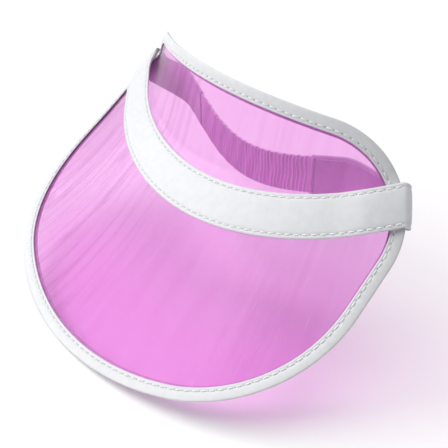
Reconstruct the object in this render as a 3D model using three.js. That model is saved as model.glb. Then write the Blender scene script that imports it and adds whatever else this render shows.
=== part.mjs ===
import * as THREE from 'three';

// Open-topped sun visor: a clear tinted sheet bent round the forehead, bound and banded in white
// vinyl, with an elastic strap behind. Millimetres, X across the head, -Y to the front, Z up.

// Top edge of the band, as it stands round the forehead (front centre at the origin).
const HEAD_HALF_WIDTH = 128.4;
const HEAD_DEPTH = 103.8;
const HEAD_RISE = 54.4;
const HEAD_DIP = 22.1;
// The sheet lies on a cone with its apex behind and above the forehead.
const APEX_BACK = 261;
const APEX_UP = 279;
// The brim flattens forward below the band; the raised part stands more upright above it.
const BRIM_RADIUS = 344;
const CREST_RADIUS = 385;
const CREST_LEAN = 0.41;
const LEAN_START = 10;

// Flat pattern of the sheet: half of an oval made of tangent arcs, from the tip of the brim.
// A last arc, tangent to the temple arc, closes the top edge level at the middle.
const TIP_RADIUS = 511.4;
const FRONT_ARC = { radius: 180, turn: 26.7 };
const SIDE_ARC = { radius: 101.8, turn: 64.6 };
const SIDE_STRAIGHT = 29.9;
const TEMPLE_ARC = { radius: 51.4, turn: 101.6 };

const SHEET = 0.6;
const GAP = 0.35;
const BINDING = 0.6;
const BINDING_WIDTH = 7.5;
const BINDING_UNDER = 8.3;
const BINDING_STEP = 5.6;
const BINDING_SEAM = 5.6;
const THREAD = 0.35;
const THREAD_WIDTH = 0.7;

const BAND = 26;
const BAND_VINYL = 0.8;
const LINING = 0.8;
const LINING_INSET = 1.2;
const BAND_SEAM = 2.4;
// How far the band runs past the bound edge along its top, and how far short it stops along its bottom.
const BAND_PAST_TOP = 1.2;
const BAND_PAST_BOTTOM = -1.5;
// The band climbs over the binding between these fractions of the way from its middle to its end.
const CLIMB_START = 0.74;
const CLIMB_END = 0.88;
// Its ends lie beyond this fraction of the sheet's widest angle.
const SIDE_FROM = 0.6;
const FOLD_RADIUS = 4.2;

// Strap: it hangs in a shallow bow towards the front, and lower in the middle than at its ends.
const STRAP_FRONT = 39;
const STRAP_BOW = 8.3;
const STRAP_SAG = 11.2;
const STRAP_WAVE = 114;
const STRAP_TOP = 5.1;
const STRAP_BOTTOM = -20.9;
const TAB = 1.4;
const TAB_BEND_END = 74;
const TAB_END = 53;
// How far the tab runs straight on from the fold, and into the strap, as it bends between them.
const TAB_LEAVE = 9;
const TAB_MEET = 11;
const ELASTIC = 1.6;
const ELASTIC_INSET = 0.8;
const SEAM_WIDTH = 3;
const TAB_SEAM = 2.6;

const PVC = { color: 0xe886d8, roughness: 0.12, metalness: 0, transparent: true, opacity: 0.55 };
const VINYL = { color: 0xf2f2f5, roughness: 0.45, metalness: 0 };
const THREAD_WHITE = { color: 0xe6e6ea, roughness: 0.8, metalness: 0 };
const FOAM = { color: 0xececec, roughness: 0.95, metalness: 0 };
const ELASTIC_WHITE = { color: 0xf0eef2, roughness: 0.85, metalness: 0 };

const rad = THREE.MathUtils.degToRad;
const clamp = THREE.MathUtils.clamp;

// ---------------------------------------------------------------- the bent surface

function headPoint(u) {
  const back = 1 - Math.cos(u);
  const z = HEAD_RISE * back - HEAD_DIP * back * back;
  return new THREE.Vector3(HEAD_HALF_WIDTH * Math.sin(u), HEAD_DEPTH * back, z);
}

const APEX = new THREE.Vector3(0, APEX_BACK, APEX_UP);

// One ruling of the cone for each small step round the head, with its angle in the flat pattern.
function rulingTable() {
  const steps = 360;
  const last = 1.6;
  const table = [];
  let angle = 0;
  for (let k = 0; k <= steps; k += 1) {
    const u = (last * k) / steps;
    const along = headPoint(u + 1e-3).sub(headPoint(u - 1e-3));
    const ray = headPoint(u).sub(APEX);
    const reach = ray.length();
    const dir = ray.divideScalar(reach);
    if (k > 0) {
      angle += dir.angleTo(table[k - 1].dir);
    }
    table.push({ angle, reach, dir, out: dir.clone().cross(along).normalize() });
  }
  return table;
}

const RULINGS = rulingTable();

function rulingAt(angle) {
  let k = 1;
  while (k < RULINGS.length - 1 && RULINGS[k].angle < angle) {
    k += 1;
  }
  const a = RULINGS[k - 1];
  const b = RULINGS[k];
  const t = (angle - a.angle) / (b.angle - a.angle);
  return {
    reach: a.reach + t * (b.reach - a.reach),
    dir: a.dir.clone().lerp(b.dir, t).normalize(),
    out: a.out.clone().lerp(b.out, t).normalize(),
  };
}

// How far the sheet stands off the plain cone at a distance s below the band's top edge.
function standOff(s) {
  const below = Math.max(s - BAND, 0);
  const above = Math.max(-s, 0);
  const lean = above < LEAN_START
    ? (above * above) / (2 * LEAN_START)
    : above - LEAN_START / 2;
  return (below * below) / (2 * BRIM_RADIUS)
    + (above * above) / (2 * CREST_RADIUS)
    + CREST_LEAN * lean;
}

// A point of the flat pattern given by its angle and radius about the apex, bent into place.
function bent(angle, radius, lift) {
  const ruling = rulingAt(Math.abs(angle));
  const off = lift + standOff(radius - ruling.reach);
  const point = APEX.clone().addScaledVector(ruling.dir, radius).addScaledVector(ruling.out, off);
  point.x *= Math.sign(angle) || 1;
  return point;
}

function bentFlat(p, q, lift) {
  return bent(Math.atan2(p, q), Math.hypot(p, q), lift);
}

// ---------------------------------------------------------------- flat outline

// Right half of the outline from the brim's tip round to the middle of the top edge.
function halfOutline(step) {
  const points = [];
  let p = 0;
  let q = TIP_RADIUS;
  let heading = 0;
  const pieces = [
    { ...FRONT_ARC },
    { ...SIDE_ARC },
    { length: SIDE_STRAIGHT },
    { ...TEMPLE_ARC },
  ];
  for (const piece of pieces) {
    const length = piece.length ?? piece.radius * rad(piece.turn);
    const count = Math.max(1, Math.round(length / step));
    const turn = piece.turn ? rad(piece.turn) / count : 0;
    const chord = piece.turn ? 2 * piece.radius * Math.sin(turn / 2) : length / count;
    for (let k = 0; k < count; k += 1) {
      points.push({ p, q, heading });
      p += chord * Math.cos(heading + turn / 2);
      q -= chord * Math.sin(heading + turn / 2);
      heading += turn;
    }
  }
  const left = Math.PI - heading;
  const radius = p / Math.sin(left);
  const count = Math.round(p / step);
  for (let k = 0; k <= count; k += 1) {
    const turn = left * (1 - k / count);
    points.push({
      p: radius * Math.sin(turn),
      q: q - radius * (Math.cos(turn) - Math.cos(left)),
      heading: Math.PI - turn,
    });
  }
  return points;
}

function inset(point, depth) {
  return {
    p: point.p - depth * Math.sin(point.heading),
    q: point.q - depth * Math.cos(point.heading),
  };
}

// Closed outline, the right half followed by its mirror image.
function fullOutline(step) {
  const right = halfOutline(step);
  const left = right.slice(1, -1).reverse();
  return [...right, ...left.map((a) => ({ p: -a.p, q: a.q, heading: 2 * Math.PI - a.heading }))];
}

// ---------------------------------------------------------------- closed meshes

// Points that round to the same part of a millimetre are one point of the mesh.
const WELD_PARTS = 2000;

// Joins equal points, drops empty triangles and turns every face outwards.
function closedGeometry(points, triangles) {
  const keys = new Map();
  const positions = [];
  const number = points.map((v) => {
    const key = [v.x, v.y, v.z].map((c) => Math.round(c * WELD_PARTS)).join();
    if (!keys.has(key)) {
      keys.set(key, positions.length / 3);
      positions.push(v.x, v.y, v.z);
    }
    return keys.get(key);
  });
  const index = [];
  let volume = 0;
  for (const corners of triangles) {
    const [a, b, c] = corners.map((k) => number[k]);
    if (a === b || b === c || c === a) {
      continue;
    }
    index.push(a, b, c);
    const [va, vb, vc] = [a, b, c].map((k) => new THREE.Vector3().fromArray(positions, 3 * k));
    volume += va.dot(vb.cross(vc));
  }
  if (volume < 0) {
    index.reverse();
  }
  const geometry = new THREE.BufferGeometry();
  geometry.setAttribute('position', new THREE.Float32BufferAttribute(positions, 3));
  geometry.setIndex(index);
  geometry.computeVertexNormals();
  return geometry;
}

function quad(triangles, a, b, c, d) {
  triangles.push([a, b, c], [a, c, d]);
}

// Sweep of closed sections; the sweep itself is closed as a ring or capped at both ends.
function sweep(sections, ring) {
  const sides = sections[0].length;
  const count = sections.length;
  const triangles = [];
  const at = (i, k) => (i % count) * sides + (k % sides);
  for (let i = 0; i < (ring ? count : count - 1); i += 1) {
    for (let k = 0; k < sides; k += 1) {
      quad(triangles, at(i, k), at(i + 1, k), at(i + 1, k + 1), at(i, k + 1));
    }
  }
  if (!ring) {
    for (let k = 1; k < sides - 1; k += 1) {
      triangles.push([at(0, 0), at(0, k), at(0, k + 1)]);
      triangles.push([at(count - 1, 0), at(count - 1, k + 1), at(count - 1, k)]);
    }
  }
  return closedGeometry(sections.flat(), triangles);
}

// Sheet between two matching grids of points, closed round all four sides.
function slab(front, back) {
  const columns = front.length;
  const rows = front[0].length;
  const at = (side, i, j) => side * columns * rows + i * rows + j;
  const triangles = [];
  for (let i = 0; i < columns - 1; i += 1) {
    for (let j = 0; j < rows - 1; j += 1) {
      quad(triangles, at(0, i, j), at(0, i, j + 1), at(0, i + 1, j + 1), at(0, i + 1, j));
      quad(triangles, at(1, i, j), at(1, i + 1, j), at(1, i + 1, j + 1), at(1, i, j + 1));
    }
    quad(triangles, at(0, i, 0), at(0, i + 1, 0), at(1, i + 1, 0), at(1, i, 0));
    const j = rows - 1;
    quad(triangles, at(0, i, j), at(1, i, j), at(1, i + 1, j), at(0, i + 1, j));
  }
  for (let j = 0; j < rows - 1; j += 1) {
    quad(triangles, at(0, 0, j), at(1, 0, j), at(1, 0, j + 1), at(0, 0, j + 1));
    const i = columns - 1;
    quad(triangles, at(0, i, j), at(0, i, j + 1), at(1, i, j + 1), at(1, i, j));
  }
  return closedGeometry([...front.flat(), ...back.flat()], triangles);
}

function mirrored(geometry) {
  const copy = geometry.clone().scale(-1, 1, 1);
  copy.setIndex([...copy.index.array].reverse());
  copy.computeVertexNormals();
  return copy;
}

// ---------------------------------------------------------------- sheet and binding

const SHEET_OUTLINE = halfOutline(1).map((point) => inset(point, BINDING + GAP)).map((point) => ({
  angle: Math.atan2(point.p, point.q),
  radius: Math.hypot(point.p, point.q),
}));
const SHEET_END = SHEET_OUTLINE.reduce((a, b) => (b.angle > a.angle ? b : a));

// Smallest and largest radius of the sheet along one ruling.
function sheetReach(angle) {
  if (angle >= SHEET_END.angle) {
    return [SHEET_END.radius, SHEET_END.radius];
  }
  const radii = [];
  for (let k = 1; k < SHEET_OUTLINE.length; k += 1) {
    const a = SHEET_OUTLINE[k - 1];
    const b = SHEET_OUTLINE[k];
    if ((a.angle <= angle) !== (b.angle <= angle)) {
      radii.push(a.radius + ((angle - a.angle) / (b.angle - a.angle)) * (b.radius - a.radius));
    }
  }
  radii.push(...(angle === 0 ? [SHEET_OUTLINE.at(-1).radius, SHEET_OUTLINE[0].radius] : []));
  return [Math.min(...radii), Math.max(...radii)];
}

function spread(from, to, count) {
  return Array.from({ length: count }, (_, k) => from + ((to - from) * k) / count);
}

function sheetColumn(angle, lift) {
  const [top, bottom] = sheetReach(Math.abs(angle));
  const { reach } = rulingAt(Math.abs(angle));
  const bandTop = clamp(reach, top, bottom);
  const bandBottom = clamp(reach + BAND, top, bottom);
  const radii = [
    ...spread(top, bandTop, 7),
    ...spread(bandTop, bandBottom, 3),
    ...spread(bandBottom, bottom, 9),
    bottom,
  ];
  return radii.map((radius) => bent(angle, radius, lift));
}

function visorSheet() {
  const half = 27;
  const angles = [];
  for (let k = -half; k <= half; k += 1) {
    angles.push(SHEET_END.angle * Math.sin(rad((90 * k) / half)));
  }
  const side = (lift) => angles.map((angle) => sheetColumn(angle, lift));
  return slab(side(SHEET / 2), side(-SHEET / 2));
}

const FLANGE_IN = SHEET / 2 + GAP;
const FLANGE_OUT = FLANGE_IN + BINDING;

// Sweeps a section, given by depth in from the edge and lift off the sheet, all round the outline.
function roundEdge(section) {
  return sweep(fullOutline(BINDING_STEP).map((point) => section.map(([depth, lift]) => {
    const { p, q } = inset(point, depth);
    return bentFlat(p, q, lift);
  })), true);
}

function edgeBinding() {
  const chamfer = 0.35;
  const section = [
    [BINDING_WIDTH, FLANGE_OUT],
    [chamfer, FLANGE_OUT],
    [0, FLANGE_OUT - chamfer],
    [0, chamfer - FLANGE_OUT],
    [chamfer, -FLANGE_OUT],
    [BINDING_UNDER, -FLANGE_OUT],
    [BINDING_UNDER, -FLANGE_IN],
    [BINDING, -FLANGE_IN],
    [BINDING, FLANGE_IN],
    [BINDING_WIDTH, FLANGE_IN],
  ];
  return roundEdge(section);
}

// Thread lying on the binding, on the outer face (side 1) or the under face (side -1).
function bindingThread(side) {
  const near = side * (FLANGE_OUT + GAP);
  const far = side * (FLANGE_OUT + GAP + THREAD);
  const section = [
    [BINDING_SEAM - THREAD_WIDTH / 2, near],
    [BINDING_SEAM + THREAD_WIDTH / 2, near],
    [BINDING_SEAM + THREAD_WIDTH / 2, far],
    [BINDING_SEAM - THREAD_WIDTH / 2, far],
  ];
  return roundEdge(section);
}

// ---------------------------------------------------------------- front band

const EDGE_OUTLINE = halfOutline(1);

// Angle at which the band stops at a distance s below its top, past the bound edge or, below 0, short
// of it. The band crosses the outline twice, and its end is the crossing at the side of the head.
function bandEnd(s, past) {
  const at = EDGE_OUTLINE.map(({ p, q }) => {
    const angle = Math.atan2(p, q);
    return { angle, miss: Math.abs(Math.hypot(p, q) - rulingAt(angle).reach - s) };
  });
  const side = at.filter(({ angle }) => angle > SIDE_FROM * SHEET_END.angle);
  const edge = side.reduce((a, b) => (b.miss < a.miss ? b : a));
  return edge.angle + past / (rulingAt(edge.angle).reach + s);
}

const BAND_END_TOP = bandEnd(0, BAND_PAST_TOP);
const BAND_END_BOTTOM = bandEnd(BAND, BAND_PAST_BOTTOM);

function bandEndAngle(s) {
  return BAND_END_TOP + (BAND_END_BOTTOM - BAND_END_TOP) * (s / BAND);
}

// The band lies on the sheet in front and climbs over the binding at its ends.
function bandBase(fraction) {
  const flat = SHEET / 2 + GAP;
  const raised = FLANGE_OUT + GAP + THREAD + GAP;
  return flat + (raised - flat) * THREE.MathUtils.smoothstep(Math.abs(fraction), CLIMB_START, CLIMB_END);
}

function bandPoint(fraction, s, lift) {
  const angle = fraction * bandEndAngle(s);
  const { reach } = rulingAt(Math.abs(angle));
  return bent(angle, reach + s, bandBase(fraction) + lift);
}

function fractions(count) {
  return Array.from({ length: count + 1 }, (_, k) => (2 * k) / count - 1);
}

function bandStrip(from, to, low, high) {
  const rows = [from, (from + to) / 2, to];
  const side = (lift) => fractions(56).map((t) => rows.map((s) => bandPoint(t, s, lift)));
  return slab(side(high), side(low));
}

const VINYL_LOW = LINING + GAP;
const VINYL_HIGH = VINYL_LOW + BAND_VINYL;

function bandThread(s) {
  const near = VINYL_HIGH + GAP;
  const far = near + THREAD;
  const edges = [
    [s - THREAD_WIDTH / 2, near],
    [s + THREAD_WIDTH / 2, near],
    [s + THREAD_WIDTH / 2, far],
    [s - THREAD_WIDTH / 2, far],
  ];
  return sweep(fractions(56).map((t) => edges.map(([at, lift]) => bandPoint(t, at, lift))), false);
}

// ---------------------------------------------------------------- temple fold and strap

// Frame at the band's right end: the middle of the vinyl, the way along the band, and outwards.
function endFrame(s) {
  const angle = bandEndAngle(s);
  const lift = bandBase(1) + VINYL_LOW + BAND_VINYL / 2;
  const { reach, out } = rulingAt(angle);
  const here = bent(angle, reach + s, lift);
  const along = here.clone().sub(bent(angle - 0.02, reach + s, lift)).normalize();
  return { here, along, out };
}

function foldPoint(s, turn, thickness) {
  const { here, along, out } = endFrame(s);
  const radius = FOLD_RADIUS + thickness;
  return here.addScaledVector(along, GAP)
    .addScaledVector(out, radius * Math.cos(turn) - FOLD_RADIUS)
    .addScaledVector(along, radius * Math.sin(turn));
}

function templeFold() {
  const turns = Array.from({ length: 9 }, (_, k) => rad((180 * k) / 8));
  const rows = [0, BAND / 2, BAND];
  const side = (thickness) => turns.map((turn) => rows.map((s) => foldPoint(s, turn, thickness)));
  return slab(side(BAND_VINYL / 2), side(-BAND_VINYL / 2));
}

// A point of the strap's middle surface, by its distance to the side and its height at the middle.
function strapPoint(x, height) {
  const wave = 1 - Math.cos((Math.PI * x) / STRAP_WAVE);
  return new THREE.Vector3(x, STRAP_FRONT + STRAP_BOW * wave, height + STRAP_SAG * wave);
}

// One edge of the right tab: it leaves the fold along the band and bends across to the strap.
function tabEdge(s, z) {
  const { along } = endFrame(s);
  const start = foldPoint(s, Math.PI, 0).addScaledVector(along, -GAP);
  const end = strapPoint(TAB_BEND_END, z);
  const onward = end.clone().sub(strapPoint(TAB_BEND_END + 1, z)).normalize();
  const bend = new THREE.CubicBezierCurve3(
    start,
    start.clone().addScaledVector(along, -TAB_LEAVE),
    end.clone().addScaledVector(onward, -TAB_MEET),
    end,
  );
  const straight = spread(TAB_BEND_END, TAB_END, 6).slice(1).map((x) => strapPoint(x, z));
  return [...bend.getPoints(10), ...straight, strapPoint(TAB_END + GAP / 2, z)];
}

// Flat ribbon between two edge lines, from one face (low) to the other (high) about its middle.
function ribbon(upper, lower, low, high) {
  const last = upper.length - 1;
  const outward = upper.map((point, k) => {
    const along = upper[Math.min(k + 1, last)].clone().sub(upper[Math.max(k - 1, 0)]);
    const down = lower[k].clone().sub(point);
    return along.cross(down).normalize();
  });
  const side = (lift) => upper.map((point, k) => [point, lower[k]].map(
    (edge) => edge.clone().addScaledVector(outward[k], lift),
  ));
  return slab(side(high), side(low));
}

const TAB_UPPER = tabEdge(0, STRAP_TOP);
const TAB_LOWER = tabEdge(BAND, STRAP_BOTTOM);

function acrossTab(from, to, start, end) {
  const pick = (fraction) => TAB_UPPER.slice(start, end).map(
    (point, k) => point.clone().lerp(TAB_LOWER[k + start], fraction),
  );
  return [pick(from), pick(to)];
}

function strapTab() {
  return ribbon(TAB_UPPER, TAB_LOWER, -TAB / 2, TAB / 2);
}

function tabThread() {
  const height = STRAP_TOP - STRAP_BOTTOM;
  const from = (TAB_SEAM - THREAD_WIDTH / 2) / height;
  const to = (TAB_SEAM + THREAD_WIDTH / 2) / height;
  const [upper, lower] = acrossTab(from, to, 1, TAB_UPPER.length - 3);
  return ribbon(upper, lower, TAB / 2 + GAP, TAB / 2 + GAP + THREAD);
}

function elasticSeam() {
  const xs = [TAB_END + SEAM_WIDTH + 0.8, TAB_END + SEAM_WIDTH / 2 + 0.8, TAB_END + 0.8];
  const near = TAB / 2 + GAP;
  return ribbon(
    xs.map((x) => strapPoint(x, STRAP_TOP - 0.6)),
    xs.map((x) => strapPoint(x, STRAP_BOTTOM + 0.6)),
    near,
    near + THREAD,
  );
}

function elasticStrap() {
  const reach = TAB_END - GAP / 2;
  const xs = [...spread(reach, -reach, 28), -reach];
  return ribbon(
    xs.map((x) => strapPoint(x, STRAP_TOP - ELASTIC_INSET)),
    xs.map((x) => strapPoint(x, STRAP_BOTTOM + ELASTIC_INSET)),
    -ELASTIC / 2,
    ELASTIC / 2,
  );
}

// ---------------------------------------------------------------- assembly

function add(group, name, geometry, look) {
  const mesh = new THREE.Mesh(geometry, new THREE.MeshStandardMaterial(look));
  mesh.name = name;
  group.add(mesh);
}

function addPair(group, name, geometry, look) {
  add(group, `${name}_right`, geometry, look);
  add(group, `${name}_left`, mirrored(geometry), look);
}

const visor = new THREE.Group();
visor.name = 'sun_visor';
add(visor, 'visor_sheet', visorSheet(), PVC);
add(visor, 'edge_binding', edgeBinding(), VINYL);
add(visor, 'binding_stitch_outer', bindingThread(1), THREAD_WHITE);
add(visor, 'binding_stitch_under', bindingThread(-1), THREAD_WHITE);
add(visor, 'band_lining', bandStrip(LINING_INSET, BAND - LINING_INSET, 0, LINING), FOAM);
add(visor, 'front_band', bandStrip(0, BAND, VINYL_LOW, VINYL_HIGH), VINYL);
add(visor, 'band_stitch_upper', bandThread(BAND_SEAM), THREAD_WHITE);
add(visor, 'band_stitch_lower', bandThread(BAND - BAND_SEAM), THREAD_WHITE);
addPair(visor, 'temple_fold', templeFold(), VINYL);
addPair(visor, 'strap_tab', strapTab(), VINYL);
addPair(visor, 'tab_stitch', tabThread(), THREAD_WHITE);
addPair(visor, 'elastic_seam', elasticSeam(), THREAD_WHITE);
add(visor, 'elastic_strap', elasticStrap(), ELASTIC_WHITE);

// Origin where the forehead bears: the sheet's inner face behind the middle of the band.
const origin = bent(0, rulingAt(0).reach + BAND / 2, -SHEET / 2);
for (const mesh of visor.children) {
  mesh.geometry.translate(0, -origin.y, -origin.z);
}

export default visor;
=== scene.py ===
import math

import bmesh
import bpy
import numpy as np
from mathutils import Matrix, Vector


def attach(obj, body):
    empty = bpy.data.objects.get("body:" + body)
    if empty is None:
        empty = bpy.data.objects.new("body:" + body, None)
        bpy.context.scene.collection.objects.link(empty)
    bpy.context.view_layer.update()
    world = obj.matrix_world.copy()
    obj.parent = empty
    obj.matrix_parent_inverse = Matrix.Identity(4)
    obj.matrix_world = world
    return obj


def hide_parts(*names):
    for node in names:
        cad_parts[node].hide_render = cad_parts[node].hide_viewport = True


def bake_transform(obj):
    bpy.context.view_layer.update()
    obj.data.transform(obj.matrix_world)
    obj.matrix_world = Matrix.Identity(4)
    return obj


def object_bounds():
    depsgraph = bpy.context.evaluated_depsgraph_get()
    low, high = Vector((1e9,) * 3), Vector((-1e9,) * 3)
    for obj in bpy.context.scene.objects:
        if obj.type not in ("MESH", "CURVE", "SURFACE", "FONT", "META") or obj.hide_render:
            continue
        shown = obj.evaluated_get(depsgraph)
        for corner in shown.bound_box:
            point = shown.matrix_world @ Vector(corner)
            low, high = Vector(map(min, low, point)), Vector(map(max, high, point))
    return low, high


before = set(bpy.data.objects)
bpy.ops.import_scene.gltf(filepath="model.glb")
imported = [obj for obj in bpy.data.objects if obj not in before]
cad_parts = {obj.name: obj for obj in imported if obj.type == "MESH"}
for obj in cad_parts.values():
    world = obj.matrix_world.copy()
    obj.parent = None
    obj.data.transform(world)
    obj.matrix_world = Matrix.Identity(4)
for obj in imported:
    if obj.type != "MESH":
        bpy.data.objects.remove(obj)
CAD_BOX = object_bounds()

# Sizes are in millimetres, as in the CAD source; MM turns them into metres.
MM = 0.001
# The curve of the forehead and the cone's apex.
HEAD_HALF_WIDTH = 128.4
HEAD_DEPTH = 103.8
HEAD_RISE = 54.4
HEAD_DIP = 22.1
APEX = np.array([0, 261, 279])
# The brim flattens forward below the band; the raised part stands more upright above it.
BRIM_RADIUS = 344
CREST_RADIUS = 385
CREST_LEAN = 0.41
LEAN_START = 10

# The outline's arcs from the brim's tip, each a radius and degrees of turn; with 0 degrees the first
# number is a straight length.
TIP_RADIUS = 511.4
ARCS = [(180, 26.7), (101.8, 64.6), (29.9, 0), (51.4, 101.6)]

SHEET = 0.6
GAP = 0.35
BINDING = 0.6
BINDING_WIDTH = 7.5
BINDING_UNDER = 8.3
BINDING_SEAM = 5.6
STITCH_PITCH = 4.9
STITCH_LENGTH = 3.6
THREAD = 0.35

BAND = 26
BAND_VINYL = 0.8
LINING = 0.8
LINING_INSET = 1.2
BAND_SEAM = 2.4
# How far the band runs past the bound edge along its top, and how far short it stops along its bottom.
BAND_PAST_TOP = 1.2
BAND_PAST_BOTTOM = -1.5
# The band climbs over the binding between these fractions of the way from its middle to its end.
CLIMB_START = 0.74
CLIMB_END = 0.88
# Its ends lie beyond this fraction of the sheet's widest angle.
SIDE_FROM = 0.6
FOLD_RADIUS = 4.2

STRAP_FRONT = 39
STRAP_BOW = 8.3
STRAP_SAG = 11.2
STRAP_WAVE = 114
STRAP_TOP = 5.1
STRAP_BOTTOM = -20.9
TAB = 1.4
TAB_BEND_END = 74
TAB_END = 53
# How far the tab runs straight on from the fold, and into the strap, as it bends between them.
TAB_LEAVE = 9
TAB_MEET = 11
TAB_SEAM = 2.6
ELASTIC = 1.6
ELASTIC_INSET = 0.8
GATHER_PITCH = 2.7

rng = np.random.default_rng(7)


# ------------------------------------------------------------------ the bent surface

HEAD_TURN = 1.6
SMALL_TURN = 1e-3


def head_point(u):
    """The curve of the forehead at the band's top edge, u radians round from its middle."""
    back = 1 - np.cos(u)
    rise = HEAD_RISE * back - HEAD_DIP * back * back
    return np.stack([HEAD_HALF_WIDTH * np.sin(u), HEAD_DEPTH * back, rise], -1)


def unit(v):
    return v / np.linalg.norm(v, axis=-1, keepdims=True)


def ruling_table():
    """Rulings of the cone round the right half of the head, with their angles in the flat pattern."""
    u = np.linspace(0, HEAD_TURN, 721)
    rays = head_point(u) - APEX
    reach = np.linalg.norm(rays, axis=1)
    ways = rays / reach[:, None]
    turns = np.arccos(np.clip((ways[1:] * ways[:-1]).sum(1), -1, 1))
    angles = np.concatenate([[0], np.cumsum(turns)])
    out = unit(np.cross(ways, head_point(u + SMALL_TURN) - head_point(u - SMALL_TURN)))
    return angles, reach, ways, out


ANGLES, REACH, WAYS, OUT = ruling_table()


def reach_at(angle):
    """Distance from the apex to the band's top edge along the ruling at an angle."""
    return np.interp(np.abs(angle), ANGLES, REACH)


def stand_off(s):
    """How far the sheet stands off the plain cone at a distance s below the band's top edge."""
    below = np.maximum(s - BAND, 0)
    above = np.maximum(-s, 0)
    lean = np.where(above < LEAN_START, above ** 2 / (2 * LEAN_START), above - LEAN_START / 2)
    return below ** 2 / (2 * BRIM_RADIUS) + above ** 2 / (2 * CREST_RADIUS) + CREST_LEAN * lean


def bent(angle, radius, lift):
    """Points of the flat pattern, by angle and radius about the apex, bent into place."""
    angle, radius, lift = np.broadcast_arrays(angle, radius, lift)
    side = np.where(angle < 0, -1.0, 1.0)
    a = np.abs(angle)
    way = unit(np.stack([np.interp(a, ANGLES, WAYS[:, k]) for k in range(3)], -1))
    out = unit(np.stack([np.interp(a, ANGLES, OUT[:, k]) for k in range(3)], -1))
    off = lift + stand_off(radius - np.interp(a, ANGLES, REACH))
    point = APEX + way * radius[..., None] + out * off[..., None]
    point[..., 0] *= side
    return point


# The CAD puts its origin where the forehead bears, on the sheet's inner face.
ORIGIN = bent(0.0, reach_at(0.0) + BAND / 2, -SHEET / 2)


def placed(points):
    return (points - ORIGIN) * MM


def flat_point(p, q, lift):
    return bent(np.arctan2(p, q), np.hypot(p, q), lift)


# ------------------------------------------------------------------ flat outline

def half_outline(step):
    """Right half of the sheet's outline: points and headings from the brim's tip round to the top."""
    rows = []
    p, q, heading = 0.0, float(TIP_RADIUS), 0.0
    for size, degrees in ARCS:
        turn = math.radians(degrees)
        length = size * turn if degrees else size
        count = max(1, round(length / step))
        for _ in range(count):
            rows.append((p, q, heading))
            small = turn / count
            chord = 2 * size * math.sin(small / 2) if degrees else length / count
            p += chord * math.cos(heading + small / 2)
            q -= chord * math.sin(heading + small / 2)
            heading += small
    left = math.pi - heading
    radius = p / math.sin(left)
    count = round(p / step)
    for k in range(count + 1):
        turn = left * (1 - k / count)
        p = radius * math.sin(turn)
        rows.append((p, q - radius * (math.cos(turn) - math.cos(left)), math.pi - turn))
    return np.array(rows)


def full_outline(step):
    right = half_outline(step)
    left = right[1:-1][::-1] * [-1, 1, -1] + [0, 0, 2 * math.pi]
    return np.concatenate([right, left])


def inset(outline, depth):
    p, q, heading = outline.T
    return p - depth * np.sin(heading), q - depth * np.cos(heading)


OUTLINE = full_outline(1.5)


def on_edge(depth, lift):
    """The line at a distance in from the sheet's bound edge, lifted off its middle."""
    p, q = inset(OUTLINE, depth)
    return placed(flat_point(p, q, lift))


# ------------------------------------------------------------------ mesh helpers

def make_piece(name, verts, faces, smooth=True):
    mesh = bpy.data.meshes.new(name)
    mesh.from_pydata([tuple(v) for v in verts], [], faces)
    mesh.validate()
    bm = bmesh.new()
    bm.from_mesh(mesh)
    bmesh.ops.remove_doubles(bm, verts=bm.verts, dist=2e-6)
    bmesh.ops.recalc_face_normals(bm, faces=bm.faces)
    bm.to_mesh(mesh)
    bm.free()
    mesh.polygons.foreach_set("use_smooth", [smooth] * len(mesh.polygons))
    obj = bpy.data.objects.new(name, mesh)
    bpy.context.scene.collection.objects.link(obj)
    return obj


def grid_faces(rows, columns, start=0, wrap_rows=False, wrap_columns=False):
    faces = []
    for i in range(rows if wrap_rows else rows - 1):
        for k in range(columns if wrap_columns else columns - 1):
            a = start + i * columns + k
            b = start + i * columns + (k + 1) % columns
            c = start + (i + 1) % rows * columns + (k + 1) % columns
            d = start + (i + 1) % rows * columns + k
            faces.append((a, b, c, d))
    return faces


def ring_sweep(name, sections):
    """Skin over matching closed sections that run round as a ring."""
    count, sides = sections.shape[:2]
    faces = grid_faces(count, sides, wrap_rows=True, wrap_columns=True)
    return make_piece(name, sections.reshape(-1, 3), faces)


def slab(name, front, back):
    """Closed sheet between two matching grids of points."""
    rows, columns = front.shape[:2]
    size = rows * columns
    faces = grid_faces(rows, columns)
    faces += [tuple(reversed(f)) for f in grid_faces(rows, columns, start=size)]
    rim = list(range(columns))
    rim += [i * columns + columns - 1 for i in range(1, rows)]
    rim += [(rows - 1) * columns + k for k in range(columns - 2, -1, -1)]
    rim += [i * columns for i in range(rows - 2, 0, -1)]
    for a, b in zip(rim, rim[1:] + rim[:1]):
        faces.append((b, a, a + size, b + size))
    return make_piece(name, np.concatenate([front.reshape(-1, 3), back.reshape(-1, 3)]), faces)


def seam_run(line, pitch):
    """Distance run along a seam at each point of its line, and how many stitches the seam takes."""
    steps = np.linalg.norm(np.diff(line, axis=0), axis=1)
    run = np.concatenate([[0], np.cumsum(steps)])
    return run, int(run[-1] // (pitch * MM))


def seam_phase(line, pitch):
    """Each point's place along a seam, counted in stitches; the needle goes in at whole numbers."""
    run, count = seam_run(line, pitch)
    return run / run[-1] * count


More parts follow.
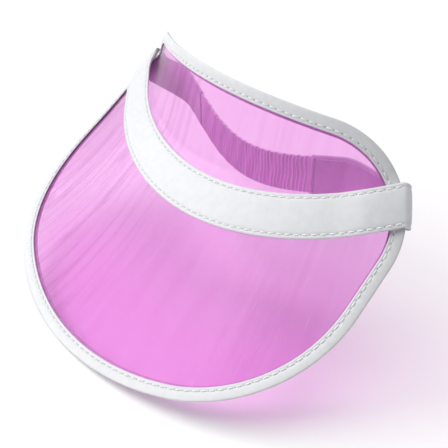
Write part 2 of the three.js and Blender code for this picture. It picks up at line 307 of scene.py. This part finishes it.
def stitch_row(name, line, out, pitch, length, width, height):
    """A row of separate stitches along a line, each a small rounded bead of thread with sunk ends."""
    run, count = seam_run(line, pitch)
    rings, ring_sides = 7, 6
    verts, faces = [], []
    for k in range(count):
        middle = (k + 0.5) * run[-1] / count + rng.normal(0, 0.06) * MM
        t = np.linspace(-0.5, 0.5, rings)
        at = np.clip(middle + t * length * MM, 0, run[-1])
        centre = np.stack([np.interp(at, run, line[:, i]) for i in range(3)], -1)
        up = unit(np.stack([np.interp(at, run, out[:, i]) for i in range(3)], -1))
        along = unit(np.gradient(centre, axis=0))
        side = np.cross(along, up)
        arch = np.sqrt(np.maximum(0, 1 - (2 * t) ** 4))
        fat = 0.3 + 0.7 * arch
        start = len(verts)
        for i in range(rings):
            for j in range(ring_sides):
                angle = 2 * math.pi * j / ring_sides
                flat = side[i] * math.cos(angle) * width / 2 * fat[i]
                rise = up[i] * (math.sin(angle) * height / 2 * fat[i] + (arch[i] - 0.6) * height)
                verts.append(centre[i] + (flat + rise) * MM)
        faces += grid_faces(rings, ring_sides, start=start, wrap_columns=True)
        last = start + (rings - 1) * ring_sides
        faces.append(tuple(start + j for j in range(ring_sides)))
        faces.append(tuple(last + j for j in reversed(range(ring_sides))))
    return make_piece(name, verts, faces)


# ------------------------------------------------------------------ materials

def material(name):
    mat = bpy.data.materials.new(name)
    mat.use_nodes = True
    mat.node_tree.nodes.clear()
    return mat, mat.node_tree


def add_node(tree, kind, **settings):
    node = tree.nodes.new(kind)
    for key, value in settings.items():
        if key.startswith("in_"):
            node.inputs[key[3:].replace("_", " ")].default_value = value
        else:
            setattr(node, key, value)
    return node


def ramp(tree, source, stops):
    node = add_node(tree, "ShaderNodeValToRGB")
    elements = node.color_ramp.elements
    while len(elements) < len(stops):
        elements.new(0.5)
    for element, (place, value) in zip(elements, stops):
        element.position = place
        element.color = value if len(value) == 4 else (*value, 1)
    tree.links.new(source, node.inputs["Fac"])
    return node.outputs["Color"]


def scaled(tree, kind, vector, scale):
    mapping = add_node(tree, "ShaderNodeMapping")
    mapping.inputs["Scale"].default_value = scale
    tree.links.new(vector, mapping.inputs["Vector"])
    texture = add_node(tree, kind)
    tree.links.new(mapping.outputs["Vector"], texture.inputs["Vector"])
    return texture


def bumped(tree, height, shader, strength, distance):
    bump = add_node(tree, "ShaderNodeBump", in_Strength=strength, in_Distance=distance)
    tree.links.new(height, bump.inputs["Height"])
    tree.links.new(bump.outputs["Normal"], shader.inputs["Normal"])


def output(tree, shader):
    out = add_node(tree, "ShaderNodeOutputMaterial")
    tree.links.new(shader, out.inputs["Surface"])


def greys(*stops):
    """Stops of a ramp, each a place and a grey."""
    return [(place, (grey,) * 3) for place, grey in stops]


# What one face of the film lets through where it is plain and streaked, and the darker tint painted along
# its folds as their shade. Light crosses two faces at each pass.
PINK_THROUGH = (0.943, 0.7, 0.925, 1)
PINK_STREAK = (0.93, 0.67, 0.908, 1)
PINK_CREASE_SHADE = (0.86, 0.59, 0.83, 1)
# What the haze in it scatters.
PINK_HAZE = (0.86, 0.36, 0.74, 1)
# How much the film mirrors seen face on, and how much more at a grazing angle.
MIRROR_FACE_ON = 0.014
MIRROR_GRAZING = 0.6


def painted_crease_shade(tree, uv):
    """Painted shade: 0 on the smooth film, rising to 1 along soft folds that fan out over its left front.
    """
    link = tree.links.new
    folds = scaled(tree, "ShaderNodeTexNoise", uv, (9, 0.3, 1))
    folds.inputs["Detail"].default_value = 0.5
    profile = greys((0.47, 0), (0.52, 1), (0.53, 0.4), (0.66, 0))
    lines = ramp(tree, folds.outputs["Fac"], profile)
    split = add_node(tree, "ShaderNodeSeparateXYZ")
    link(uv, split.inputs["Vector"])
    shift = add_node(tree, "ShaderNodeMath", operation="ADD")
    shift.inputs[1].default_value = 0.5
    link(split.outputs["X"], shift.inputs[0])
    left_front = greys((0.1, 0.9), (0.4, 0.8), (0.5, 0.15), (0.6, 0))
    side = ramp(tree, shift.outputs["Value"], left_front)
    strength = add_node(tree, "ShaderNodeMath", operation="MULTIPLY")
    link(lines, strength.inputs[0])
    link(side, strength.inputs[1])
    return strength.outputs["Value"]


def tinted_pvc():
    """Clear soft PVC: a tinted see-through film with painted shade along folds over its left front, a
    little haze, and a glossy skin with soft waves.
    """
    mat, tree = material("tinted_pvc")
    link = tree.links.new
    uv = add_node(tree, "ShaderNodeUVMap", uv_map="pattern").outputs["UV"]
    streaks = scaled(tree, "ShaderNodeTexNoise", uv, (14, 0.5, 1))
    streaks.inputs["Detail"].default_value = 3
    tint = ramp(tree, streaks.outputs["Fac"], [(0.35, PINK_THROUGH), (0.7, PINK_STREAK)])
    film = add_node(tree, "ShaderNodeBsdfTransparent")
    # Painted shade: a darker tint along the folds over the film's left front.
    crease_shaded = add_node(tree, "ShaderNodeMix", data_type="RGBA")
    crease_shaded.inputs["B"].default_value = PINK_CREASE_SHADE
    link(painted_crease_shade(tree, uv), crease_shaded.inputs["Factor"])
    link(tint, crease_shaded.inputs["A"])
    link(crease_shaded.outputs["Result"], film.inputs["Color"])
    haze = add_node(tree, "ShaderNodeBsdfDiffuse", in_Color=PINK_HAZE)
    hazy = add_node(tree, "ShaderNodeMixShader", in_Fac=0.03)
    link(film.outputs["BSDF"], hazy.inputs[1])
    link(haze.outputs["BSDF"], hazy.inputs[2])
    gloss = add_node(tree, "ShaderNodeBsdfGlossy", in_Roughness=0.07)
    waves = scaled(tree, "ShaderNodeTexNoise", uv, (26, 0.8, 1))
    waves.inputs["Detail"].default_value = 2
    bumped(tree, waves.outputs["Fac"], gloss, 0.5, 0.0008)
    facing = add_node(tree, "ShaderNodeLayerWeight", in_Blend=0.5).outputs["Facing"]
    steep = add_node(tree, "ShaderNodeMath", operation="POWER")
    steep.inputs[1].default_value = 5
    link(facing, steep.inputs[0])
    mirror = add_node(tree, "ShaderNodeMath", operation="MULTIPLY_ADD")
    mirror.inputs[1].default_value = MIRROR_GRAZING
    mirror.inputs[2].default_value = MIRROR_FACE_ON
    link(steep.outputs["Value"], mirror.inputs[0])
    shiny = add_node(tree, "ShaderNodeMixShader")
    link(mirror.outputs["Value"], shiny.inputs["Fac"])
    link(hazy.outputs["Shader"], shiny.inputs[1])
    link(gloss.outputs["BSDF"], shiny.inputs[2])
    output(tree, shiny.outputs["Shader"])
    return mat


def needle_hole_shade(tree):
    """0 in the needle holes of a seam, where their shade is painted, and 1 on plain vinyl, by a pattern in
    stitches and millimetres.
    """
    link = tree.links.new
    uv = add_node(tree, "ShaderNodeUVMap", uv_map="pattern").outputs["UV"]
    split = add_node(tree, "ShaderNodeSeparateXYZ")
    link(uv, split.inputs["Vector"])
    nearest = add_node(tree, "ShaderNodeMath", operation="PINGPONG")
    nearest.inputs[1].default_value = 0.5
    link(split.outputs["X"], nearest.inputs[0])
    along = add_node(tree, "ShaderNodeMath", operation="MULTIPLY")
    along.inputs[1].default_value = STITCH_PITCH
    link(nearest.outputs["Value"], along.inputs[0])
    offset = add_node(tree, "ShaderNodeCombineXYZ")
    link(along.outputs["Value"], offset.inputs["X"])
    link(split.outputs["Y"], offset.inputs["Y"])
    away = add_node(tree, "ShaderNodeVectorMath", operation="LENGTH")
    link(offset.outputs["Vector"], away.inputs[0])
    return ramp(tree, away.outputs["Value"], [(0.24, (0, 0, 0)), (0.55, (1, 1, 1))])


def white_vinyl(name, punched):
    """Soft white vinyl with a fine grain, faint mottling and a satin sheen, and needle holes painted dark
    as their shade if punched.
    """
    mat, tree = material(name)
    link = tree.links.new
    place = add_node(tree, "ShaderNodeTexCoord").outputs["Object"]
    grain = scaled(tree, "ShaderNodeTexVoronoi", place, (1500, 1500, 1500))
    fine = scaled(tree, "ShaderNodeTexNoise", place, (900, 900, 900))
    mottle = scaled(tree, "ShaderNodeTexNoise", place, (45, 45, 45))
    shader = add_node(tree, "ShaderNodeBsdfPrincipled")
    colour = ramp(tree, mottle.outputs["Fac"], [(0.3, (0.635, 0.645, 0.665)), (0.7, (0.675, 0.685, 0.7))])
    if punched:
        # Painted shade: the needle holes are darkened as the shade inside them.
        hole_shade = add_node(tree, "ShaderNodeMix", data_type="RGBA")
        hole_shade.inputs["A"].default_value = (0.3, 0.3, 0.33, 1)
        link(needle_hole_shade(tree), hole_shade.inputs["Factor"])
        link(colour, hole_shade.inputs["B"])
        colour = hole_shade.outputs["Result"]
    link(colour, shader.inputs["Base Color"])
    link(ramp(tree, fine.outputs["Fac"], greys((0.3, 0.36), (0.7, 0.5))), shader.inputs["Roughness"])
    shader.inputs["Sheen Weight"].default_value = 0.08
    mixed = add_node(tree, "ShaderNodeMath", operation="ADD")
    link(grain.outputs["Distance"], mixed.inputs[0])
    link(fine.outputs["Fac"], mixed.inputs[1])
    bumped(tree, mixed.outputs["Value"], shader, 0.18, 0.0002)
    output(tree, shader.outputs["BSDF"])
    return mat


def sewing_thread():
    """White polyester thread with a fine twist, painted darker in the twist's grooves as their shade."""
    mat, tree = material("thread")
    place = add_node(tree, "ShaderNodeTexCoord").outputs["Object"]
    twist = scaled(tree, "ShaderNodeTexWave", place, (2600, 2600, 2600))
    shader = add_node(tree, "ShaderNodeBsdfPrincipled")
    # Painted shade: greyer where the twist's bump sinks.
    colour = ramp(tree, twist.outputs["Fac"], [(0.2, (0.7, 0.7, 0.74)), (0.8, (0.86, 0.86, 0.88))])
    tree.links.new(colour, shader.inputs["Base Color"])
    shader.inputs["Roughness"].default_value = 0.7
    shader.inputs["Sheen Weight"].default_value = 0.25
    bumped(tree, twist.outputs["Fac"], shader, 0.3, 0.0001)
    output(tree, shader.outputs["BSDF"])
    return mat


def white_foam():
    """Open-cell foam lining, matt and slightly porous, with painted shade darkening its pores."""
    mat, tree = material("foam")
    place = add_node(tree, "ShaderNodeTexCoord").outputs["Object"]
    pores = scaled(tree, "ShaderNodeTexVoronoi", place, (1100, 1100, 1100))
    shader = add_node(tree, "ShaderNodeBsdfPrincipled")
    # Painted shade: greyer in the pores, where the bump sinks.
    colour = ramp(tree, pores.outputs["Distance"], greys((0.1, 0.74), (0.6, 0.88)))
    tree.links.new(colour, shader.inputs["Base Color"])
    shader.inputs["Roughness"].default_value = 0.95
    bumped(tree, pores.outputs["Distance"], shader, 0.5, 0.0003)
    output(tree, shader.outputs["BSDF"])
    return mat


def white_elastic():
    """Knitted elastic: fine ribs along the strap, painted darker in their grooves as shade, over the
    gathers, which are in the mesh.
    """
    mat, tree = material("elastic")
    link = tree.links.new
    uv = add_node(tree, "ShaderNodeUVMap", uv_map="pattern").outputs["UV"]
    ribs = scaled(tree, "ShaderNodeTexWave", uv, (0, 22, 0))
    ribs.bands_direction = "Y"
    knit = scaled(tree, "ShaderNodeTexVoronoi", uv, (260, 60, 1))
    shader = add_node(tree, "ShaderNodeBsdfPrincipled")
    mixed = add_node(tree, "ShaderNodeMath", operation="ADD")
    link(ribs.outputs["Fac"], mixed.inputs[0])
    link(knit.outputs["Distance"], mixed.inputs[1])
    # Painted shade: greyer where the ribs and knit sink in the bump.
    colour = ramp(tree, mixed.outputs["Value"], [(0.1, (0.72, 0.71, 0.74)), (1.0, (0.88, 0.87, 0.9))])
    link(colour, shader.inputs["Base Color"])
    shader.inputs["Roughness"].default_value = 0.85
    shader.inputs["Sheen Weight"].default_value = 0.3
    bumped(tree, mixed.outputs["Value"], shader, 0.4, 0.0002)
    output(tree, shader.outputs["BSDF"])
    return mat


# By slot, with one more look for the vinyl that has seams.
MATERIALS = {
    "tinted_pvc": tinted_pvc(),
    "white_vinyl": white_vinyl("white_vinyl", punched=False),
    "stitched_vinyl": white_vinyl("stitched_vinyl", punched=True),
    "thread": sewing_thread(),
    "foam": white_foam(),
    "elastic": white_elastic(),
}


def finish_piece(obj, slot, body, *nodes, look=None):
    """Gives a piece its material by slot or look, hides the CAD nodes it replaces and hangs it on the body
    it rides.
    """
    obj.data.materials.append(MATERIALS[look or slot])
    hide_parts(*nodes)
    if body:
        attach(obj, body)
    return obj


def set_pattern(obj, u, v, turn=None):
    """UV map 'pattern' from each vertex's u and v; turn is u's run once round, on a ring of quads."""
    mesh = obj.data
    index = np.zeros(len(mesh.loops), int)
    mesh.loops.foreach_get("vertex_index", index)
    u = u[index]
    if turn:
        corners = u.reshape(-1, 4)
        across = np.ptp(corners, axis=1) > turn / 2
        corners[across] += np.where(corners[across] < turn / 2, turn, 0)
    layer = mesh.uv_layers.new(name="pattern")
    layer.data.foreach_set("uv", np.stack([u, v[index]], -1).ravel())


def add_pattern(obj, place):
    """UV map 'pattern' worked out from each vertex's place by place(points) -> (u, v)."""
    points = np.zeros(len(obj.data.vertices) * 3)
    obj.data.vertices.foreach_get("co", points)
    set_pattern(obj, *place(points.reshape(-1, 3)))


# ------------------------------------------------------------------ sheet

def sheet_reach(angles):
    """Least and greatest radius of the sheet along each ruling, and the angle where it ends."""
    p, q = inset(half_outline(0.5), BINDING + GAP)
    turn, radius = np.arctan2(p, q), np.hypot(p, q)
    last = int(np.argmax(turn))
    brim = np.interp(angles, turn[:last + 1], radius[:last + 1])
    crest = np.interp(angles, turn[last:][::-1], radius[last:][::-1])
    return crest, brim, turn[last]


# Metres of the sheet to one unit of its pattern.
PATTERN_LENGTH = 0.2


def build_sheet():
    """The tinted sheet, with a pattern by its angle round the cone and its distance from the apex."""
    end = sheet_reach(np.zeros(1))[2]
    angles = end * np.sin(np.linspace(-math.pi / 2, math.pi / 2, 241))
    crest, brim, _ = sheet_reach(np.abs(angles))
    t = np.linspace(0, 1, 97)
    radii = crest[:, None] + (brim - crest)[:, None] * t
    grid = np.broadcast_to(angles[:, None], radii.shape)
    faces = [placed(bent(grid, radii, lift)) for lift in (SHEET / 2, -SHEET / 2)]
    obj = slab("visor_film", *faces)
    centre = placed(APEX)

    def pattern(points):
        ray = points - centre
        turn = np.arctan2(ray[:, 0], -ray[:, 1])
        return turn, np.linalg.norm(ray, axis=1) / PATTERN_LENGTH

    add_pattern(obj, pattern)
    finish_piece(obj, "tinted_pvc", "visor", "visor_sheet")


# ------------------------------------------------------------------ binding

FLANGE_IN = SHEET / 2 + GAP
FLANGE_OUT = FLANGE_IN + BINDING
BINDING_CROWN = 0.22
BINDING_DIP = 0.2
BINDING_SINK = -0.05
EDGE_ROUND = 0.5


def binding_section():
    """Depth in from the edge and lift of the binding's skin, over the outer face and back underneath."""
    over = np.linspace(BINDING_WIDTH, EDGE_ROUND, 12)
    crown = BINDING_CROWN * np.sin(np.pi * np.clip(over / BINDING_SEAM, 0, 1))
    dip = -BINDING_DIP * np.exp(-((over - BINDING_SEAM) / 0.55) ** 2)
    outer = [(d, FLANGE_OUT + c) for d, c in zip(over, crown + dip)]
    turns = np.linspace(0.5, math.pi - 0.5, 7)
    edge = [(EDGE_ROUND - EDGE_ROUND * math.sin(a), FLANGE_OUT * math.cos(a)) for a in turns]
    under = [(d * BINDING_UNDER / BINDING_WIDTH, -lift) for d, lift in reversed(outer)]
    inside = [
        (BINDING_UNDER - 0.1, -FLANGE_IN),
        (BINDING, -FLANGE_IN),
        (BINDING, FLANGE_IN),
        (BINDING_WIDTH - 0.1, FLANGE_IN),
    ]
    return outer + edge + under + inside


def binding_seam(side, lift):
    """The binding's seam once round, on its outer side (1) or its under side (-1)."""
    line = on_edge(BINDING_SEAM, side * (FLANGE_OUT + lift))
    return np.concatenate([line, line[:1]])


def build_binding():
    section = np.array(binding_section())
    sections = np.stack([on_edge(depth, lift) for depth, lift in section], 1)
    obj = ring_sweep("binding_skin", sections)
    phase = seam_phase(binding_seam(1, BINDING_SINK), STITCH_PITCH)
    u = np.repeat(phase[:-1], len(section))
    v = np.tile(section[:, 0] - BINDING_SEAM, len(phase) - 1)
    set_pattern(obj, u, v, phase[-1])
    finish_piece(obj, "white_vinyl", "visor", "edge_binding", look="stitched_vinyl")


def build_binding_stitches(name, side, node):
    line = binding_seam(side, BINDING_SINK)
    out = unit(binding_seam(side, 1) - line)
    obj = stitch_row(name, line, out, STITCH_PITCH, length=STITCH_LENGTH, width=0.85, height=0.55)
    finish_piece(obj, "thread", "visor", node)


# ------------------------------------------------------------------ front band

def band_end(s, past):
    """Angle where the band ends at a distance s below its top edge: past the sheet's side edge there."""
    p, q, _ = half_outline(0.5).T
    angle, radius = np.arctan2(p, q), np.hypot(p, q)
    miss = np.where(angle > SIDE_FROM * angle.max(), np.abs(radius - reach_at(angle) - s), np.inf)
    edge = angle[np.argmin(miss)]
    return edge + past / (reach_at(edge) + s)


END_TOP = band_end(0, BAND_PAST_TOP)
END_BOTTOM = band_end(BAND, BAND_PAST_BOTTOM)


def band_base(fraction):
    """Lift of the band's inner face, which climbs over the binding towards its ends."""
    low = SHEET / 2 + GAP
    high = FLANGE_OUT + GAP + THREAD + GAP
    t = np.clip((np.abs(fraction) - CLIMB_START) / (CLIMB_END - CLIMB_START), 0, 1)
    return low + (high - low) * t * t * (3 - 2 * t)


def band_point(fraction, s, lift):
    """Points of the band, fraction -1 to 1 along it and s below its top edge."""
    fraction, s, lift = np.broadcast_arrays(fraction, s, lift)
    angle = fraction * (END_TOP + (END_BOTTOM - END_TOP) * s / BAND)
    return placed(bent(angle, reach_at(angle) + s, band_base(fraction) + lift))


BAND_LOW = LINING + GAP
BAND_HIGH = BAND_LOW + BAND_VINYL
FRACTIONS = np.linspace(-1, 1, 321)
FOLD_TURNS = np.linspace(0, math.pi, 33)[1:]
BAND_SINK = -0.22
BAND_CROWN = 0.45
BAND_DIP = 0.25
BAND_ROUND = 0.45
# A place in a seam half way between two needle holes, for vinyl that has no seam.
BETWEEN_HOLES = 0.5


def band_swell(s):
    """The vinyl swells over the foam, dips at both seams and rounds off at its edges."""
    from_edge = np.minimum(s, BAND - s)
    across = np.clip((s - BAND_SEAM) / (BAND - 2 * BAND_SEAM), 0, 1)
    crown = BAND_CROWN * np.sin(np.pi * across) ** 0.6
    dip = -BAND_DIP * np.exp(-((from_edge - BAND_SEAM) / 0.6) ** 2)
    round_off = -BAND_ROUND * np.exp(-from_edge / 0.35)
    return crown + dip + round_off


def band_seam(s, lift):
    return band_point(FRACTIONS, s, BAND_HIGH + lift)


def build_band():
    """The band's vinyl in one piece with the folds that turn back behind the sheet at its ends."""
    s = BAND * (0.5 - 0.5 * np.cos(np.linspace(0, math.pi, 41)))
    swell = band_swell(s)
    turn, across = np.meshgrid(FOLD_TURNS, s, indexing="ij")
    flat = np.zeros_like(s)
    outer = (BAND_HIGH + swell, BAND_VINYL / 2 + swell)
    inner = (BAND_LOW + flat, flat - BAND_VINYL / 2)
    faces = []
    for lift, thickness in (outer, inner):
        fold = placed(fold_point(across, turn, thickness))
        middle = band_point(FRACTIONS[:, None], s, lift)
        faces.append(np.concatenate([mirror_points(fold, -1)[::-1], middle, fold]))
    obj = slab("band_skin", *faces)
    upper = seam_phase(band_seam(BAND_SEAM, BAND_SINK), STITCH_PITCH)
    lower = seam_phase(band_seam(BAND - BAND_SEAM, BAND_SINK), STITCH_PITCH)
    phase = np.where(s < BAND / 2, upper[:, None], lower[:, None])
    plain = np.full((len(FOLD_TURNS), len(s)), BETWEEN_HOLES)
    u = np.concatenate([plain, phase, plain]).ravel()
    v = np.tile(np.minimum(s, BAND - s) - BAND_SEAM, len(u) // len(s))
    set_pattern(obj, np.tile(u, 2), np.tile(v, 2))
    nodes = ["front_band", "temple_fold_right", "temple_fold_left"]
    finish_piece(obj, "white_vinyl", "visor", *nodes, look="stitched_vinyl")


def build_lining():
    s = np.linspace(LINING_INSET, BAND - LINING_INSET, 9)
    swell = 0.12 * np.sin(np.pi * (s - LINING_INSET) / (BAND - 2 * LINING_INSET))
    front = band_point(FRACTIONS[:, None], s, LINING + swell)
    back = band_point(FRACTIONS[:, None], s, np.zeros_like(s))
    obj = finish_piece(slab("band_foam", front, back), "foam", "visor", "band_lining")


def build_band_stitches(name, s, node):
    line = band_seam(s, BAND_SINK)
    out = unit(band_seam(s, 1) - line)
    obj = stitch_row(name, line, out, STITCH_PITCH, length=STITCH_LENGTH, width=0.95, height=0.65)
    finish_piece(obj, "thread", "visor", node)


# ------------------------------------------------------------------ temple folds

def end_frame(s):
    """Middle of the vinyl at the band's right end, the way along the band, and outwards."""
    angle = END_TOP + (END_BOTTOM - END_TOP) * s / BAND
    lift = band_base(1.0) + BAND_LOW + BAND_VINYL / 2
    radius = reach_at(angle) + s
    here = bent(angle, radius, lift)
    along = unit(here - bent(angle - 0.02, radius, lift))
    out = unit(np.stack([np.interp(angle, ANGLES, OUT[:, k]) for k in range(3)], -1))
    return here, along, out


def fold_point(s, turn, thickness):
    """Points round the fold: turn is 0 at the band's end and pi where the vinyl faces back."""
    here, along, out = end_frame(s)
    radius = FOLD_RADIUS + thickness
    return (here + out * (radius * np.cos(turn) - FOLD_RADIUS)[..., None]
            + along * (radius * np.sin(turn))[..., None])


def mirror_points(points, side):
    """The same points on the right (side 1), or mirrored to the left (side -1)."""
    return points * [side, 1, 1]


# ------------------------------------------------------------------ strap

def strap_point(x, height):
    """Points of the strap, whose middle stands forward of its ends and hangs lower."""
    x, height = np.broadcast_arrays(np.asarray(x, float), np.asarray(height, float))
    wave = 1 - np.cos(np.pi * x / STRAP_WAVE)
    return np.stack([x, STRAP_FRONT + STRAP_BOW * wave, height + STRAP_SAG * wave], -1)


def tab_edge(s, z):
    """One edge of the right tab: out of the fold along the band, then bent across to the strap."""
    _, along, _ = end_frame(s)
    start = fold_point(s, np.array(math.pi), 0) - along * GAP
    end = strap_point(TAB_BEND_END, z)
    onward = unit(end - strap_point(TAB_BEND_END + 1, z))
    a, b = start - along * TAB_LEAVE, end - onward * TAB_MEET
    t = np.linspace(0, 1, 29)[:, None]
    bend = (1 - t) ** 3 * start + 3 * t * (1 - t) ** 2 * a + 3 * t * t * (1 - t) * b + t ** 3 * end
    return np.concatenate([bend, strap_point(np.linspace(TAB_BEND_END, TAB_END, 15)[1:], z)])


TAB_UPPER = tab_edge(0, STRAP_TOP)
TAB_LOWER = tab_edge(BAND, STRAP_BOTTOM)


def ribbon_frame(upper, lower):
    along = np.gradient((upper + lower) / 2, axis=0)
    return unit(np.cross(along, lower - upper))


TAB_OUT = ribbon_frame(TAB_UPPER, TAB_LOWER)
HEIGHT = STRAP_TOP - STRAP_BOTTOM


def tab_point(fraction, lift):
    """Points across the tab, fraction 0 at its upper edge and 1 at its lower, off its middle by lift."""
    middle = TAB_UPPER[:, None] * (1 - fraction)[:, None] + TAB_LOWER[:, None] * fraction[:, None]
    return middle + TAB_OUT[:, None] * np.broadcast_to(lift, fraction.shape)[:, None]


def bend_with_strap(obj):
    """Bakes a tab's placement into its mesh, as built between the fold and the strap's end."""
    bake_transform(obj)


def build_tab(name, side, node):
    fraction = 0.5 - 0.5 * np.cos(np.linspace(0, math.pi, 25))
    from_edge = np.minimum(fraction, 1 - fraction) * HEIGHT
    swell = 0.25 * (1 - np.exp(-from_edge / 1.5)) - 0.35 * np.exp(-from_edge / 0.35)
    front = mirror_points(placed(tab_point(fraction, TAB / 2 + swell)), side)
    back = mirror_points(placed(tab_point(fraction, -TAB / 2 - swell)), side)
    obj = finish_piece(slab(name, front, back), "white_vinyl", None, node)
    bend_with_strap(obj)


def build_tab_stitches(name, side, node):
    fraction = np.array([TAB_SEAM / HEIGHT])
    line = mirror_points(placed(tab_point(fraction, np.array([TAB / 2 + 0.2])))[3:-4, 0], side)
    out = mirror_points(TAB_OUT[3:-4], side)
    row = stitch_row(name, line, out, pitch=3.0, length=2.1, width=0.7, height=0.4)
    obj = finish_piece(row, "thread", None, node)
    bend_with_strap(obj)


def elastic_grid(x, fraction, face):
    """The elastic's face (1 to the front, -1 behind), with its gathers and a scalloped upper edge."""
    x, fraction = np.meshgrid(x, fraction, indexing="ij")
    wander = 0.5 * np.sin(x * 0.31 + 4 * fraction) + 0.3 * np.sin(x * 0.83 + 1.7)
    phase = 2 * np.pi * (x + 0.6 * wander + 0.5 * np.sin(3 * np.pi * fraction)) / GATHER_PITCH
    deep = 0.5 + 0.18 * np.sin(x * 0.57 + 5 * fraction)
    ends = np.clip((TAB_END - np.abs(x)) / 3, 0, 1)
    gather = deep * np.sin(phase) * ends
    top = STRAP_TOP - ELASTIC_INSET + 0.25 * np.sin(phase * 0.5) * ends
    bottom = STRAP_BOTTOM + ELASTIC_INSET
    z = top + (bottom - top) * fraction
    slope = STRAP_BOW * np.pi / STRAP_WAVE * np.sin(np.pi * x / STRAP_WAVE)
    out = unit(np.stack([slope, -np.ones_like(slope), np.zeros_like(slope)], -1))
    edge = np.minimum(fraction, 1 - fraction) * HEIGHT
    thick = ELASTIC / 2 - 0.4 * np.exp(-edge / 0.4)
    return placed(strap_point(x, z) + out * (face * thick + 0.6 * gather)[..., None])


# Metres of the elastic to one unit of its pattern.
KNIT_LENGTH = 0.02


def build_elastic(name, side, node):
    x = side * np.linspace(TAB_END, 0, 340)
    fraction = 0.5 - 0.5 * np.cos(np.linspace(0, math.pi, 21))
    obj = slab(name, elastic_grid(x, fraction, 1), elastic_grid(x, fraction, -1))
    add_pattern(obj, lambda points: (points[:, 0] / KNIT_LENGTH, points[:, 2] / KNIT_LENGTH))
    finish_piece(obj, "elastic", None, node)
    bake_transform(obj)


def build_seam(name, side, node):
    """Zigzag on the tab's end, which joins the elastic to it."""
    rows = 15
    z = np.linspace(STRAP_TOP - 1, STRAP_BOTTOM + 1, rows * 2 + 1)
    x = side * (TAB_END + 1.6 + 1.1 * np.where(np.arange(len(z)) % 2, 1, -1))
    corners = strap_point(x, z)
    fine = np.concatenate([np.linspace(a, b, 6)[:-1] for a, b in zip(corners, corners[1:])])
    slope = STRAP_BOW * np.pi / STRAP_WAVE * math.sin(math.pi * TAB_END / STRAP_WAVE) * side
    out = unit(np.array([slope, -1.0, 0.0]))
    line = placed(fine + out * (TAB / 2 + 0.3))
    pitch = float(np.linalg.norm(corners[1] - corners[0]))
    outs = np.broadcast_to(out, line.shape)
    obj = stitch_row(name, line, outs, pitch, length=pitch * 0.95, width=0.6, height=0.45)
    finish_piece(obj, "thread", "strap_ends", node)


# ------------------------------------------------------------------ build

build_sheet()
build_binding()
build_binding_stitches("binding_thread_outer", 1, "binding_stitch_outer")
build_binding_stitches("binding_thread_under", -1, "binding_stitch_under")
build_lining()
build_band()
build_band_stitches("band_thread_upper", BAND_SEAM, "band_stitch_upper")
build_band_stitches("band_thread_lower", BAND - BAND_SEAM, "band_stitch_lower")
for side, word in ((1, "right"), (-1, "left")):
    build_tab(f"tab_skin_{word}", side, f"strap_tab_{word}")
    build_tab_stitches(f"tab_thread_{word}", side, f"tab_stitch_{word}")
    build_seam(f"seam_thread_{word}", side, f"elastic_seam_{word}")
    build_elastic(f"elastic_{word}", side, "elastic_strap")


# ------------------------------------------------------------------ floor, light, camera

AZIMUTH = math.radians(52.29)
ELEVATION = math.radians(34.75)
DISTANCE = 0.4561
AIM = Vector((0.0271, 0.0112, -0.0189))
LENS = 61.4

BACK = Vector((math.sin(AZIMUTH) * math.cos(ELEVATION), -math.cos(AZIMUTH) * math.cos(ELEVATION),
               math.sin(ELEVATION)))
FLOOR_REACH = 6
FLOOR_DROP = 0.0005


def build_floor():
    z = CAD_BOX[0].z - FLOOR_DROP
    verts = [(x * FLOOR_REACH, y * FLOOR_REACH, z) for x, y in ((-1, -1), (1, -1), (1, 1), (-1, 1))]
    obj = make_piece("floor", verts, [(0, 1, 2, 3)], smooth=False)
    mat, tree = material("floor")
    shader = add_node(tree, "ShaderNodeBsdfPrincipled", in_Base_Color=(0.93, 0.93, 0.935, 1))
    shader.inputs["Roughness"].default_value = 0.9
    output(tree, shader.outputs["BSDF"])
    obj.data.materials.append(mat)


def area_light(name, place, size, power):
    """A rectangular light that faces the origin."""
    data = bpy.data.lights.new(name, "AREA")
    data.shape = "RECTANGLE"
    data.size, data.size_y = size
    data.energy = power
    obj = bpy.data.objects.new(name, data)
    obj.location = place
    obj.rotation_euler = (-Vector(place)).to_track_quat("-Z", "Y").to_euler()
    bpy.context.scene.collection.objects.link(obj)


def build_light():
    world = bpy.data.worlds.new("studio")
    world.use_nodes = True
    background = world.node_tree.nodes["Background"]
    background.inputs["Color"].default_value = (1, 1, 1, 1)
    background.inputs["Strength"].default_value = 0.24
    bpy.context.scene.world = world
    area_light("key", place=(-3.1, -2.7, 2.4), size=(3.8, 3.8), power=212)
    area_light("top", place=(-0.2, 0.3, 3.4), size=(3.4, 3.4), power=82)


def build_camera():
    data = bpy.data.cameras.new("camera")
    data.lens = LENS
    data.sensor_width = 36
    obj = bpy.data.objects.new("camera", data)
    obj.location = AIM + BACK * DISTANCE
    obj.rotation_euler = BACK.to_track_quat("Z", "Y").to_euler()
    bpy.context.scene.collection.objects.link(obj)
    bpy.context.scene.camera = obj


build_floor()
build_light()
build_camera()
bpy.context.scene.view_settings.view_transform = "Standard"
